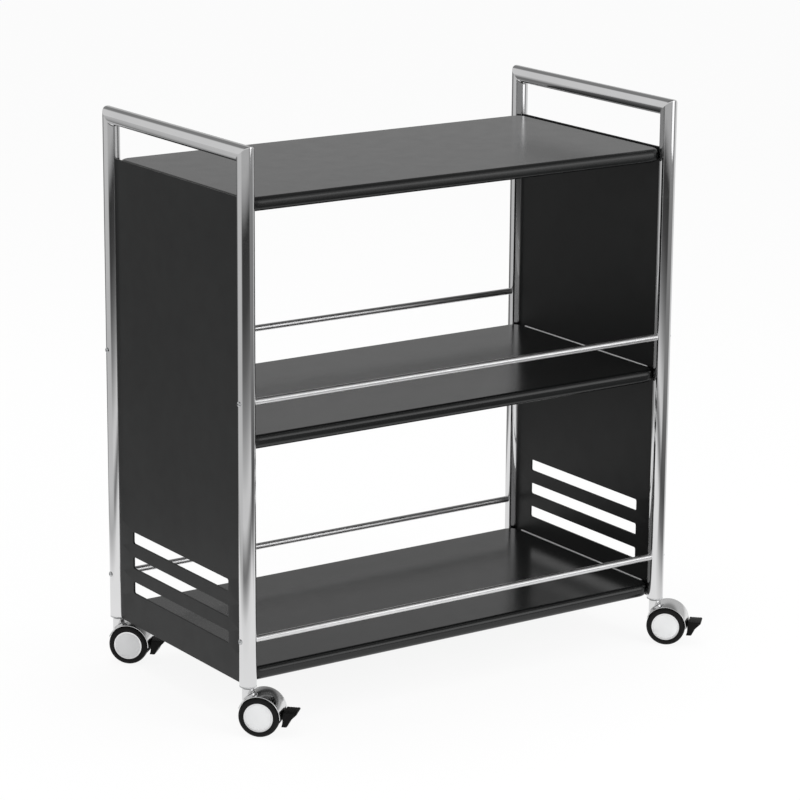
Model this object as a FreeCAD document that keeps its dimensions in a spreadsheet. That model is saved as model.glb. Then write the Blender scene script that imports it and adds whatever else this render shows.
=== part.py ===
import FreeCAD, Part
import math
import os
import Sketcher

# Hostess trolley: two welded tube hoops with a sheet panel in each, three boards between them,
# four guard rails and four twin-wheel castors with a foot brake.
# Origin: on the floor, midway between the four posts. X runs along the boards, Z is up.
# Every length is in millimetres and every height is above the floor.

document = FreeCAD.newDocument("HostessTrolley")
sheet = document.addObject("Spreadsheet::Sheet", "Sizes")
parts = {}


class Size:
    # A number together with the sheet formula that gives it.
    def __init__(self, value, formula):
        self.value = float(value)
        self.formula = formula

    def __add__(self, other):
        other = as_size(other)
        return Size(self.value + other.value, "(%s + %s)" % (self.formula, other.formula))

    def __sub__(self, other):
        other = as_size(other)
        return Size(self.value - other.value, "(%s - %s)" % (self.formula, other.formula))

    def __mul__(self, other):
        other = as_size(other)
        return Size(self.value * other.value, "(%s * %s)" % (self.formula, other.formula))

    def __truediv__(self, other):
        other = as_size(other)
        return Size(self.value / other.value, "(%s / %s)" % (self.formula, other.formula))

    def __neg__(self):
        return Size(-self.value, "(0 - %s)" % self.formula)


def as_size(value):
    return value if isinstance(value, Size) else Size(value, "(%s)" % value)


def cosine(angle):
    return Size(math.cos(math.radians(angle.value)), "cos(%s)" % angle.formula)


def sine(angle):
    return Size(math.sin(math.radians(angle.value)), "sin(%s)" % angle.formula)


used_rows = []


def dimension(alias, value):
    used_rows.append(alias)
    row = len(used_rows)
    sheet.set("A%d" % row, alias)
    sheet.set("B%d" % row, str(value))
    sheet.setAlias("B%d" % row, alias)
    return Size(value, "Sizes." + alias)


# Tube hoops
post_spacing_x = dimension("postSpacingX", 740)
post_spacing_y = dimension("postSpacingY", 375)
overall_height = dimension("overallHeight", 850)
tube_radius = dimension("tubeRadius", 12.5)
tube_wall = dimension("tubeWall", 1.5)
tube_bottom = dimension("tubeBottom", 70)
mitre_angle = 45

# Side panels and their three air slots
panel_thickness = dimension("panelThickness", 3)
panel_top = dimension("panelTop", 775)
panel_bottom = dimension("panelBottom", 68)
slot_lowest = dimension("slotLowest", 128)
slot_pitch = dimension("slotPitch", 39)
slot_height = dimension("slotHeight", 18)
slot_length = dimension("slotLength", 274)
slot_corner = dimension("slotCorner", 3)
slot_count = 3

# Boards
shelf_depth = dimension("shelfDepth", 366)
shelf_thickness = dimension("shelfThickness", 20)
shelf_corner = dimension("shelfCorner", 22)
shelf_rounding = dimension("shelfRounding", 8)
shelf_tops = {
    "top_shelf": dimension("topShelfTop", 774),
    "middle_shelf": dimension("middleShelfTop", 434),
    "lower_shelf": dimension("lowerShelfTop", 91),
}

# Board fixings: a stud welded to the panel and a cam that locks it, four of each per board
stud_radius = dimension("studRadius", 3)
stud_length = dimension("studLength", 30)
stud_spacing = dimension("studSpacing", 240)
cam_radius = dimension("camRadius", 7.5)
cam_height = dimension("camHeight", 12)
cam_bore_depth = dimension("camBoreDepth", 14)

# Guard rails and their screws
rail_radius = dimension("railRadius", 5)
rail_entry = dimension("railEntry", 9.5)
rail_heights = {
    "middle": dimension("middleRailHeight", 486),
    "lower": dimension("lowerRailHeight", 137),
}
screw_radius = dimension("screwRadius", 2)
screw_length = dimension("screwLength", 15)
screw_head_radius = dimension("screwHeadRadius", 4)
screw_head_height = dimension("screwHeadHeight", 2.4)
screw_dome_radius = dimension("screwDomeRadius", 6.1)
screw_socket_radius = dimension("screwSocketRadius", 1.5)
screw_socket_depth = dimension("screwSocketDepth", 1.6)

# Castors. Distances along run from the stem towards the trailing side, distances across run
# along the axle. All four trail towards the same side at rest.
castor_angle = dimension("castorAngle", -45)
castor_trail = dimension("castorTrail", 20)
axle_height = dimension("axleHeight", 30)
wheel_radius = dimension("wheelRadius", 30)
wheel_inner_face = dimension("wheelInnerFace", 7)
wheel_width = dimension("wheelWidth", 16.5)
tyre_shoulder = dimension("tyreShoulder", 5)
hub_radius = dimension("hubRadius", 21.5)
hub_rim = dimension("hubRim", 2)
hub_recess = dimension("hubRecess", 0.8)
hub_set_back = dimension("hubSetBack", 0.4)
hub_cover = dimension("hubCover", 1)
axle_radius = dimension("axleRadius", 3)
axle_half_length = dimension("axleHalfLength", 21)
running_gap = dimension("runningGap", 0.05)

# Castor stem and the plug that holds it in the tube
insert_top = dimension("insertTop", 110)
insert_lip = dimension("insertLip", 1.5)
stem_radius = dimension("stemRadius", 5.5)
stem_top = dimension("stemTop", 105)
collar_radius = dimension("collarRadius", 8.8)
collar_height = dimension("collarHeight", 1.5)
pivot_radius = dimension("pivotRadius", 4)
pivot_bottom = dimension("pivotBottom", 44)

# Castor housing: a hood over both wheels, a web between them and a boss round the stem
swivel_gap = dimension("swivelGap", 0.3)
hood_clearance = dimension("hoodClearance", 0.8)
hood_thickness = dimension("hoodThickness", 2.2)
hood_half_width = dimension("hoodHalfWidth", 23.5)
hood_end_height = dimension("hoodEndHeight", 36.9)
hood_skirt_height = dimension("hoodSkirtHeight", 28)
hood_notch_half_width = dimension("hoodNotchHalfWidth", 14.8)
web_half_width = dimension("webHalfWidth", 6.3)
axle_boss_radius = dimension("axleBossRadius", 8)
boss_bottom = dimension("bossBottom", 42)

# Brake pedal, given from the axle line: it rocks on a pin under the hood
brake_pin_along = dimension("brakePinAlong", 24)
brake_pin_height = dimension("brakePinHeight", 40)
brake_pin_radius = dimension("brakePinRadius", 1.5)
pedal_half_width = dimension("pedalHalfWidth", 14)
pedal_bottom = dimension("pedalBottom", 15)
pedal_top = dimension("pedalTop", 37)
pedal_reach = dimension("pedalReach", 54)
pedal_tip_cut = dimension("pedalTipCut", 1)
pedal_tip_depth = dimension("pedalTipDepth", 2)
pedal_waist_along = dimension("pedalWaistAlong", 45.5)
pedal_waist_height = dimension("pedalWaistHeight", 28)
pedal_foot_along = dimension("pedalFootAlong", 34.5)
pedal_back_along = dimension("pedalBackAlong", 34.3)
pedal_crook_along = dimension("pedalCrookAlong", 33)
pedal_hollow_radius = dimension("pedalHollowRadius", 30.5)
pedal_hollow_along = dimension("pedalHollowAlong", 2.6)
pedal_hollow_height = dimension("pedalHollowHeight", 25.2)
tongue_half_width = dimension("tongueHalfWidth", 3)
tongue_radius = dimension("tongueRadius", 4)
tongue_gap = dimension("tongueGap", 0.3)
tongue_heel_along = dimension("tongueHeelAlong", 21.5)
tongue_heel_height = dimension("tongueHeelHeight", 28)
tongue_root_along = dimension("tongueRootAlong", 35)
tongue_root_bottom = dimension("tongueRootBottom", 25)
tongue_root_top = dimension("tongueRootTop", 35.4)
tongue_crook_height = dimension("tongueCrookHeight", 35.9)

document.recompute()

# Values that follow from the driving dimensions
bar_height = overall_height - tube_radius
panel_half_depth = post_spacing_y / 2 - tube_radius
shelf_length = post_spacing_x - panel_thickness
wheel_space_radius = wheel_radius + hood_clearance
hood_radius = wheel_space_radius + hood_thickness
swivel_top = tube_bottom - insert_lip - collar_height
boss_top = swivel_top - swivel_gap
overrun = 1  # how far a cutting solid runs past the face that it opens

upright = FreeCAD.Rotation()
x_axis = FreeCAD.Vector(1, 0, 0)
y_axis = FreeCAD.Vector(0, 1, 0)
z_axis = FreeCAD.Vector(0, 0, 1)
along_y = FreeCAD.Rotation(x_axis, -90)
castor_turn = FreeCAD.Rotation(z_axis, castor_angle.value)


def along_x(side):
    return FreeCAD.Rotation(y_axis, 90 * side)


def bind(thing, name, size):
    thing.setExpression(name, as_size(size).formula)


def place(thing, x=0, y=0, z=0, turn=upright):
    sizes = [as_size(size) for size in (x, y, z)]
    thing.Placement = FreeCAD.Placement(FreeCAD.Vector(*[size.value for size in sizes]), turn)
    for letter, size in zip("xyz", sizes):
        bind(thing, "Placement.Base." + letter, size)
    return thing


def keep(node, thing):
    thing.Label = node
    parts[node] = thing
    return thing


def cylinder(radius, height, x=0, y=0, z=0, turn=upright):
    solid = document.addObject("Part::Cylinder", "Cylinder")
    bind(solid, "Radius", radius)
    bind(solid, "Height", height)
    return place(solid, x, y, z, turn)


def box(x_from, x_to, y_half, z_from, z_to):
    x_from, x_to, y_half = as_size(x_from), as_size(x_to), as_size(y_half)
    z_from, z_to = as_size(z_from), as_size(z_to)
    solid = document.addObject("Part::Box", "Box")
    bind(solid, "Length", x_to - x_from)
    bind(solid, "Width", y_half * 2)
    bind(solid, "Height", z_to - z_from)
    return place(solid, x_from, -y_half, z_from)


def cut(base, *tools):
    result = document.addObject("Part::Cut", "Cut")
    result.Base = base
    result.Tool = tools[0] if len(tools) == 1 else fuse(*tools)
    return result


def fuse(*solids):
    result = document.addObject("Part::MultiFuse", "Fuse")
    result.Shapes = list(solids)
    return result


def common(*solids):
    result = document.addObject("Part::MultiCommon", "Common")
    result.Shapes = list(solids)
    return result


def group(solids):
    result = document.addObject("Part::Compound", "Group")
    result.Links = list(solids)
    return result


def origin_plane(body, role):
    return [feature for feature in body.Origin.OriginFeatures if feature.Role == role][0]


def new_body(name):
    return document.addObject("PartDesign::Body", name)


def new_sketch(body, role, name, offset=None):
    sketch = body.newObject("Sketcher::SketchObject", name)
    sketch.AttachmentSupport = (origin_plane(body, role), [""])
    sketch.MapMode = "FlatFace"
    if offset is not None:
        bind(sketch, "AttachmentOffset.Base.z", offset)
    return sketch


def pin_point(sketch, edge, end, x, y):
    # Fixes one end of an edge at x, y from the sketch's origin.
    for kind, size, axis in (("DistanceX", x, -2), ("DistanceY", y, -1)):
        if abs(size.value) < 1e-9:
            sketch.addConstraint(Sketcher.Constraint("PointOnObject", edge, end, axis))
            continue
        number = sketch.addConstraint(Sketcher.Constraint(kind, -1, 1, edge, end, size.value))
        bind(sketch, "Constraints[%d]" % number, size)


def point(x, y):
    return FreeCAD.Vector(x.value, y.value, 0)


def draw_polygon(sketch, corners):
    corners = [(as_size(x), as_size(y)) for x, y in corners]
    count = len(corners)
    for number in range(count):
        start = point(*corners[number])
        finish = point(*corners[(number + 1) % count])
        sketch.addGeometry(Part.LineSegment(start, finish), False)
    for number in range(count):
        sketch.addConstraint(Sketcher.Constraint("Coincident", number, 2, (number + 1) % count, 1))
        pin_point(sketch, number, 1, *corners[number])


def draw_rectangle(sketch, half_x, half_y, corner, centre_y=0):
    # A rectangle about x = 0 with four equal round corners, drawn as side, corner, side, corner.
    half_x, half_y, middle = as_size(half_x), as_size(half_y), as_size(centre_y)
    outer, inner = half_x, half_x - corner
    high, high_in = middle + half_y, middle + half_y - corner
    low, low_in = middle - half_y, middle - half_y + corner
    sides = [
        ((-inner, low), (inner, low)),
        ((outer, low_in), (outer, high_in)),
        ((inner, high), (-inner, high)),
        ((-outer, high_in), (-outer, low_in)),
    ]
    centres = [(inner, low_in), (inner, high_in), (-inner, high_in), (-inner, low_in)]
    for number, (start, finish) in enumerate(sides):
        first_angle = math.radians(90 * number - 90)
        circle = Part.Circle(point(*centres[number]), z_axis, corner.value)
        sketch.addGeometry(Part.LineSegment(point(*start), point(*finish)), False)
        sketch.addGeometry(Part.ArcOfCircle(circle, first_angle, first_angle + math.pi / 2), False)
    for number, (start, finish) in enumerate(sides):
        side, arc, next_side = 2 * number, 2 * number + 1, (2 * number + 2) % 8
        pin_point(sketch, side, 1, *start)
        pin_point(sketch, side, 2, *finish)
        sketch.addConstraint(Sketcher.Constraint("Coincident", side, 2, arc, 1))
        sketch.addConstraint(Sketcher.Constraint("Coincident", arc, 2, next_side, 1))
        radius = sketch.addConstraint(Sketcher.Constraint("Radius", arc, corner.value))
        bind(sketch, "Constraints[%d]" % radius, corner)


def draw_circles(sketch, centres, radius):
    for number, (x, y) in enumerate(centres):
        x, y = as_size(x), as_size(y)
        sketch.addGeometry(Part.Circle(point(x, y), z_axis, radius.value), False)
        pin_point(sketch, number, 3, x, y)
        size = sketch.addConstraint(Sketcher.Constraint("Radius", number, radius.value))
        bind(sketch, "Constraints[%d]" % size, radius)


def pad(body, sketch, length):
    feature = body.newObject("PartDesign::Pad", "Pad")
    feature.Profile = sketch
    bind(feature, "Length", length)
    return feature


def pocket(body, sketch, length=None, reversed_way=False):
    # With no length the pocket goes right through.
    feature = body.newObject("PartDesign::Pocket", "Pocket")
    feature.Profile = sketch
    feature.Reversed = reversed_way
    if length is None:
        feature.Type = "ThroughAll"
    else:
        bind(feature, "Length", length)
    return feature


def fillet(body, base, names, radius):
    feature = body.newObject("PartDesign::Fillet", "Fillet")
    feature.Base = (base, names)
    bind(feature, "Radius", radius)
    return feature


def turned_piece(name, corners):
    # Revolves a profile of radius and height about the vertical axis.
    body = new_body(name)
    sketch = new_sketch(body, "XZ_Plane", name + "Profile")
    draw_polygon(sketch, corners)
    feature = body.newObject("PartDesign::Revolution", "Revolution")
    feature.Profile = sketch
    feature.ReferenceAxis = (sketch, ["V_Axis"])
    feature.Angle = 360
    return body


sides = {"left": -1, "right": 1}
ends = {"front": -1, "rear": 1}


def mitre_cutter(x, end, turn):
    # A wide disc whose base lies in the mitre plane through the corner where two tubes meet.
    return cylinder(tube_radius * 3, tube_radius * 4, x, post_spacing_y / 2 * end, bar_height,
                    FreeCAD.Rotation(x_axis, turn))


def make_post(node, side, end):
    x, y = post_spacing_x / 2 * side, post_spacing_y / 2 * end
    height = overall_height - tube_bottom
    outside = cylinder(tube_radius, height, x, y, tube_bottom)
    removed = [cylinder(tube_radius - tube_wall, height, x, y, tube_bottom)]
    removed.append(mitre_cutter(x, end, mitre_angle * end))
    for rail_height in rail_heights.values():
        removed.append(cylinder(rail_radius, tube_radius + overrun, x, y, rail_height, along_x(-side)))
        removed.append(cylinder(screw_radius, tube_radius + overrun, x, y, rail_height, along_x(side)))
    keep(node, cut(outside, *removed))


def make_top_bar(node, side):
    x = post_spacing_x / 2 * side
    length = post_spacing_y + tube_radius * 2
    start = -length / 2
    outside = cylinder(tube_radius, length, x, start, bar_height, along_y)
    removed = [cylinder(tube_radius - tube_wall, length, x, start, bar_height, along_y)]
    for end in ends.values():
        removed.append(mitre_cutter(x, end, (mitre_angle - 180) * end))
    keep(node, cut(outside, *removed))


def make_side_panel(node, side):
    # The sheet stands on the tubes' middle plane, and its two edges are coped to the posts.
    body = new_body("Panel")
    outline = new_sketch(body, "YZ_Plane", "PanelOutline")
    half = panel_half_depth + tube_wall / 2
    draw_polygon(outline, [
        (-half, panel_bottom),
        (half, panel_bottom),
        (half, panel_top),
        (-half, panel_top),
    ])
    pad(body, outline, panel_thickness)
    slot = new_sketch(body, "YZ_Plane", "LowestSlot")
    draw_rectangle(slot, slot_length / 2, slot_height / 2, slot_corner, slot_lowest)
    slot_pocket = pocket(body, slot, reversed_way=True)
    row = body.newObject("PartDesign::LinearPattern", "SlotRow")
    row.Originals = [slot_pocket]
    row.Direction = (slot, ["V_Axis"])
    bind(row, "Length", slot_pitch * (slot_count - 1))
    row.Occurrences = slot_count
    body.Tip = row
    copes = new_sketch(body, "XY_Plane", "Copes")
    post_centres = [(panel_thickness / 2, post_spacing_y / 2 * end) for end in ends.values()]
    draw_circles(copes, post_centres, tube_radius)
    pocket(body, copes, reversed_way=True)
    place(body, post_spacing_x / 2 * side - panel_thickness / 2)
    keep(node, body)


def make_shelf(node, shelf_top):
    # A board with round corners and round edges, bored at its ends for the studs and from
    # below for the cams.
    body = new_body("Shelf")
    outline = new_sketch(body, "XY_Plane", "ShelfOutline")
    draw_rectangle(outline, shelf_length / 2, shelf_depth / 2, shelf_corner)
    board = pad(body, outline, shelf_thickness)
    document.recompute()
    flat = [
        "Face%d" % (number + 1)
        for number, face in enumerate(board.Shape.Faces)
        if abs(face.normalAt(0, 0).z) > 0.99
    ]
    fillet(body, board, flat, shelf_rounding)
    end_bores = new_sketch(body, "YZ_Plane", "EndBores", shelf_length / 2)
    across = [stud_spacing / 2 * end for end in ends.values()]
    draw_circles(end_bores, [(y, shelf_thickness / 2) for y in across], stud_radius)
    end_pocket = pocket(body, end_bores, stud_length + cam_radius)
    both_ends = body.newObject("PartDesign::Mirrored", "BothEnds")
    both_ends.Originals = [end_pocket]
    both_ends.MirrorPlane = (origin_plane(body, "YZ_Plane"), [""])
    body.Tip = both_ends
    cam_bores = new_sketch(body, "XY_Plane", "CamBores")
    cam_centres = [(cam_distance() * side, y) for side in sides.values() for y in across]
    draw_circles(cam_bores, cam_centres, cam_radius)
    pocket(body, cam_bores, cam_bore_depth, reversed_way=True)
    place(body, z=shelf_top - shelf_thickness)
    keep(node, body)


def cam_distance():
    # From the middle of the board to a cam, whose edge meets the end of the stud.
    return shelf_length / 2 - stud_length - cam_radius


def make_board_fixings():
    studs = []
    cams = []
    for shelf_top in shelf_tops.values():
        for side in sides.values():
            for end in ends.values():
                y = stud_spacing / 2 * end
                studs.append(cylinder(stud_radius, stud_length, shelf_length / 2 * side, y,
                                      shelf_top - shelf_thickness / 2, along_x(-side)))
                cams.append(cylinder(cam_radius, cam_height, cam_distance() * side, y,
                                     shelf_top - shelf_thickness))
    keep("shelf_studs", group(studs))
    keep("cam_locks", group(cams))


def make_rail(node, end, rail_height):
    half = post_spacing_x / 2 + rail_entry
    y = post_spacing_y / 2 * end
    bores = [
        cylinder(screw_radius, screw_length + overrun, half * side, y, rail_height, along_x(-side))
        for side in sides.values()
    ]
    rod = cylinder(rail_radius, half * 2, -half, y, rail_height, along_x(1))
    keep(node, cut(rod, *bores))


def make_rail_screw(side, end, rail_height):
    # A domed head coped to the tube, a hexagon socket and a shank into the rail's end.
    x, y = post_spacing_x / 2 * side, post_spacing_y / 2 * end
    turn = along_x(side)
    crown = tube_radius + screw_head_height
    dome = document.addObject("Part::Sphere", "Dome")
    bind(dome, "Radius", screw_dome_radius)
    place(dome, x + (crown - screw_dome_radius) * side, y, rail_height)
    drum = cylinder(screw_head_radius, crown, x, y, rail_height, turn)
    tube = cylinder(tube_radius, screw_head_radius * 4, x, y, rail_height - screw_head_radius * 2)
    socket = document.addObject("Part::Prism", "Socket")
    socket.Polygon = 6
    bind(socket, "Circumradius", screw_socket_radius)
    bind(socket, "Height", screw_socket_depth + overrun)
    place(socket, x + (crown - screw_socket_depth) * side, y, rail_height, turn)
    shank_end = rail_entry - screw_length
    shank = cylinder(screw_radius, tube_radius - shank_end, x + shank_end * side, y, rail_height, turn)
    return cut(fuse(cut(common(dome, drum), tube), shank), socket)


class Castor:
    def __init__(self, name, side, end):
        self.name = name
        self.x = post_spacing_x / 2 * side
        self.y = post_spacing_y / 2 * end

    def put(self, thing, along=0, across=0, height=0, turn=upright):
        along, across = as_size(along), as_size(across)
        x = self.x + along * cosine(castor_angle) - across * sine(castor_angle)
        y = self.y + along * sine(castor_angle) + across * cosine(castor_angle)
        return place(thing, x, y, height, castor_turn * turn)

    def keep(self, piece, thing):
        return keep("%s_%s" % (self.name, piece), thing)


def across_rod(radius, half_length, along, height):
    # A rod along the axle direction, in the castor's own directions.
    return cylinder(radius, half_length * 2, along, -half_length, height, along_y)


def make_insert_and_stem(castor):
    lip_bottom = tube_bottom - insert_lip
    tube_inside = tube_radius - tube_wall
    insert = turned_piece("Insert", [
        (stem_radius, lip_bottom),
        (tube_radius, lip_bottom),
        (tube_radius, tube_bottom),
        (tube_inside, tube_bottom),
        (tube_inside, insert_top),
        (stem_radius, insert_top),
    ])
    stem = turned_piece("Stem", [
        (0, pivot_bottom),
        (pivot_radius, pivot_bottom),
        (pivot_radius, swivel_top),
        (collar_radius, swivel_top),
        (collar_radius, lip_bottom),
        (stem_radius, lip_bottom),
        (stem_radius, stem_top),
        (0, stem_top),
    ])
    castor.keep("tube_insert", castor.put(insert))
    castor.keep("castor_stem", castor.put(stem))


def make_housing(castor):
    trail = castor_trail
    disc = across_rod(hood_radius, hood_half_width, trail, axle_height)
    above = box(-collar_radius, trail + hood_radius + overrun, hood_half_width + overrun,
                hood_end_height, axle_height + hood_radius + overrun)
    # behind the wheels the hood reaches lower, with a notch between its two skirts for the pedal
    behind = box(trail, trail + hood_radius + overrun, hood_half_width + overrun,
                 hood_skirt_height, hood_end_height + overrun)
    notch = box(trail - overrun, trail + hood_radius + overrun * 2, hood_notch_half_width,
                hood_skirt_height - overrun, hood_end_height + overrun * 2)
    link = box(trail - axle_boss_radius, trail + axle_boss_radius, web_half_width,
               axle_height, hood_end_height + overrun)
    axle_boss = across_rod(axle_boss_radius, web_half_width, trail, axle_height)
    stem_boss = cylinder(collar_radius, boss_top - boss_bottom, z=boss_bottom)
    removed = []
    for side in (-1, 1):
        start = web_half_width if side > 0 else -hood_half_width - overrun
        removed.append(cylinder(wheel_space_radius, hood_half_width - web_half_width + overrun,
                                trail, start, axle_height, along_y))
    removed.append(cylinder(pivot_radius + running_gap, boss_top - pivot_bottom + overrun * 2,
                            z=pivot_bottom - overrun))
    removed.append(across_rod(axle_radius, web_half_width + overrun, trail, axle_height))
    removed.append(across_rod(brake_pin_radius, web_half_width + overrun,
                              trail + brake_pin_along, brake_pin_height))
    slot_half_width = tongue_half_width + tongue_gap
    slot_round = across_rod(wheel_space_radius - tongue_gap, slot_half_width, trail, axle_height)
    slot_block = box(trail + brake_pin_along / 2, trail + hood_radius, slot_half_width + overrun,
                     axle_height, axle_height + hood_radius)
    removed.append(common(slot_round, slot_block))
    skirts = common(disc, cut(behind, notch))
    solid = fuse(common(disc, above), skirts, link, axle_boss, stem_boss)
    castor.keep("castor_housing", castor.put(cut(solid, *removed)))


def make_pins(castor):
    axle = document.addObject("Part::Cylinder", "Axle")
    bind(axle, "Radius", axle_radius)
    bind(axle, "Height", axle_half_length * 2)
    castor.keep("castor_axle", castor.put(axle, castor_trail, -axle_half_length, axle_height, along_y))
    pin = document.addObject("Part::Cylinder", "BrakePin")
    bind(pin, "Radius", brake_pin_radius)
    bind(pin, "Height", web_half_width * 2)
    castor.keep("brake_pin", castor.put(pin, castor_trail + brake_pin_along, -web_half_width,
                                        brake_pin_height, along_y))


def make_wheel(castor, number, side):
    # Each wheel is drawn with its inner face at height 0, then laid along the axle.
    turn = FreeCAD.Rotation(x_axis, -90 * side)
    tyre = turned_piece("Tyre", [
        (hub_radius, 0),
        (wheel_radius, 0),
        (wheel_radius, wheel_width),
        (hub_radius, wheel_width),
    ])
    document.recompute()
    ring = tyre.Tip
    outer_edges = [
        "Edge%d" % (index + 1)
        for index, edge in enumerate(ring.Shape.Edges)
        if hasattr(edge.Curve, "Radius") and abs(edge.Curve.Radius - wheel_radius.value) < 1e-6
    ]
    fillet(tyre, ring, outer_edges, tyre_shoulder)
    face = wheel_width - hub_set_back
    disc = face - hub_recess
    hub = turned_piece("Hub", [
        (axle_radius + running_gap, hub_set_back),
        (hub_radius, hub_set_back),
        (hub_radius, face),
        (hub_radius - hub_rim, face),
        (hub_radius - hub_rim, disc),
        (0, disc),
        (0, disc - hub_cover),
        (axle_radius + running_gap, disc - hub_cover),
    ])
    for piece, solid in (("tyre", tyre), ("hub", hub)):
        castor.put(solid, castor_trail, wheel_inner_face * side, axle_height, turn)
        castor.keep("%s_%d" % (piece, number), solid)


def make_pedal(castor):
    # The blade stands behind both wheels with its hollow side round them, and a tongue between
    # the wheels carries it on the brake pin.
    trail = castor_trail
    blade = new_body("Blade")
    blade_side = new_sketch(blade, "XZ_Plane", "BladeSide", -pedal_half_width)
    draw_polygon(blade_side, [
        (trail + pedal_hollow_along, pedal_bottom),
        (trail + pedal_foot_along, pedal_bottom),
        (trail + pedal_waist_along, pedal_waist_height),
        (trail + pedal_reach, pedal_top - pedal_tip_depth),
        (trail + pedal_reach - pedal_tip_cut, pedal_top),
        (trail + pedal_back_along, pedal_top),
        (trail + pedal_crook_along, axle_height),
        (trail + pedal_hollow_along, axle_height),
    ])
    pad(blade, blade_side, pedal_half_width * 2)
    hollow = across_rod(pedal_hollow_radius, pedal_half_width + overrun,
                        trail + pedal_hollow_along, pedal_hollow_height)
    tongue = new_body("Tongue")
    tongue_side = new_sketch(tongue, "XZ_Plane", "TongueSide", -tongue_half_width)
    pin_along = trail + brake_pin_along
    draw_polygon(tongue_side, [
        (pin_along - tongue_radius, brake_pin_height),
        (trail + tongue_heel_along, tongue_heel_height),
        (trail + tongue_root_along, tongue_root_bottom),
        (trail + tongue_root_along, tongue_root_top),
        (pin_along + tongue_radius, tongue_crook_height),
        (pin_along + tongue_radius, brake_pin_height),
    ])
    pad(tongue, tongue_side, tongue_half_width * 2)
    eye = across_rod(tongue_radius, tongue_half_width, pin_along, brake_pin_height)
    bore_half_length = tongue_half_width + overrun
    bore = across_rod(brake_pin_radius + running_gap, bore_half_length, pin_along, brake_pin_height)
    pedal = cut(fuse(cut(blade, hollow), tongue, eye), bore)
    castor.keep("brake_pedal", castor.put(pedal))


for side_name, side in sides.items():
    for end_name, end in ends.items():
        make_post("%s_%s_post" % (side_name, end_name), side, end)
    make_top_bar("%s_top_bar" % side_name, side)
    make_side_panel("%s_side_panel" % side_name, side)

for node, shelf_top in shelf_tops.items():
    make_shelf(node, shelf_top)
make_board_fixings()

for level, rail_height in rail_heights.items():
    for end_name, end in ends.items():
        make_rail("%s_%s_rail" % (level, end_name), end, rail_height)
keep("rail_screws", group([
    make_rail_screw(side, end, rail_height)
    for side in sides.values()
    for end in ends.values()
    for rail_height in rail_heights.values()
]))

for side_name, side in sides.items():
    for end_name, end in ends.items():
        castor = Castor("%s_%s" % (side_name, end_name), side, end)
        make_insert_and_stem(castor)
        make_housing(castor)
        make_pins(castor)
        make_wheel(castor, 1, -1)
        make_wheel(castor, 2, 1)
        make_pedal(castor)

document.recompute()

faults = [
    "%s: %s" % (thing.Label, thing.State)
    for thing in document.Objects
    if "Invalid" in thing.State or "Error" in thing.State
]
for node, thing in parts.items():
    if thing.Shape.isNull() or not thing.Shape.isValid() or not thing.Shape.Solids:
        faults.append("%s: bad shape" % node)
if faults:
    raise RuntimeError("; ".join(faults))

os.makedirs("parts", exist_ok=True)
for node, thing in parts.items():
    thing.Shape.exportStep("parts/%s.step" % node)
    bounds = thing.Shape.BoundBox
    print("%-32s solids %2d  volume %10.1f  x %7.1f %7.1f  y %7.1f %7.1f  z %6.1f %6.1f" % (
        node, len(thing.Shape.Solids), thing.Shape.Volume,
        bounds.XMin, bounds.XMax, bounds.YMin, bounds.YMax, bounds.ZMin, bounds.ZMax))
print(len(parts), "nodes")
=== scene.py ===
import math

import bmesh
import bpy
import numpy as np
from mathutils import Matrix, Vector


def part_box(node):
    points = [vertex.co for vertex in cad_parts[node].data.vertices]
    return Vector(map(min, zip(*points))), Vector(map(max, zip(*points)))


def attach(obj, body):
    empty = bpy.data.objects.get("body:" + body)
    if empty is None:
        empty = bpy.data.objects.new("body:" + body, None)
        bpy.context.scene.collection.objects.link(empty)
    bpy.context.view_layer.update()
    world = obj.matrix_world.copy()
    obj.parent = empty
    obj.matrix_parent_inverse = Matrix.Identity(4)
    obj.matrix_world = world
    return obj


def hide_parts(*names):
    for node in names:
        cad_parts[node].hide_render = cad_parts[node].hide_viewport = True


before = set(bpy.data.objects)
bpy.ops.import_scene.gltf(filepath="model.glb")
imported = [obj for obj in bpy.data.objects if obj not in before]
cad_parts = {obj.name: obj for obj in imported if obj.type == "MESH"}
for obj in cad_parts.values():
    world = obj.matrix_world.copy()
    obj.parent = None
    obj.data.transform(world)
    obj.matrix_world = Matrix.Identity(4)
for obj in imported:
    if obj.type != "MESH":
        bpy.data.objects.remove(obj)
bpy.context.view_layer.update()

# Hostess trolley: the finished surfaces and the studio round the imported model.
# Lengths in the dictionaries are millimetres, heights are above the floor.

sideNames = ("left", "right")
castorNames = ("left_front", "left_rear", "right_front", "right_rear")
tiny = 1e-6                  # for telling whether two places are the same
weldReach = 2e-6             # metres


# Surfaces on a grid

def spanOf(node):
    # Lowest and highest corner of a CAD node, in millimetres.
    low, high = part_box(node)
    return np.array(low) * 1000, np.array(high) * 1000


def circle(count):
    # Angles once round, as a row.
    return np.linspace(0, 2 * math.pi, count, endpoint=False)[None, :]


def quarterArc(steps):
    return np.linspace(0, math.pi / 2, steps + 1)


def spots(*parts):
    # Points from their coordinates, which are first spread to one shape.
    return np.stack(np.broadcast_arrays(*parts), axis=-1)


def gridQuads(rows, columns, wrapRows=False, wrapColumns=True):
    # Point number = row * columns + column, and each quad joins four neighbours. Wrapping joins
    # the last row or column to the first.
    row = np.arange(rows if wrapRows else rows - 1)[:, None]
    column = np.arange(columns if wrapColumns else columns - 1)[None, :]
    nextRow, nextColumn = (row + 1) % rows, (column + 1) % columns
    corners = [row * columns + column, row * columns + nextColumn,
               nextRow * columns + nextColumn, nextRow * columns + column]
    return np.stack(corners, axis=-1).reshape(-1, 4)


def surfaceOf(points, caps=(), wrapRows=False, wrapColumns=True):
    # Rows of points as a surface: its points, its quads and its flat caps.
    return points.reshape(-1, 3), gridQuads(*points.shape[:2], wrapRows, wrapColumns), list(caps)


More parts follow.
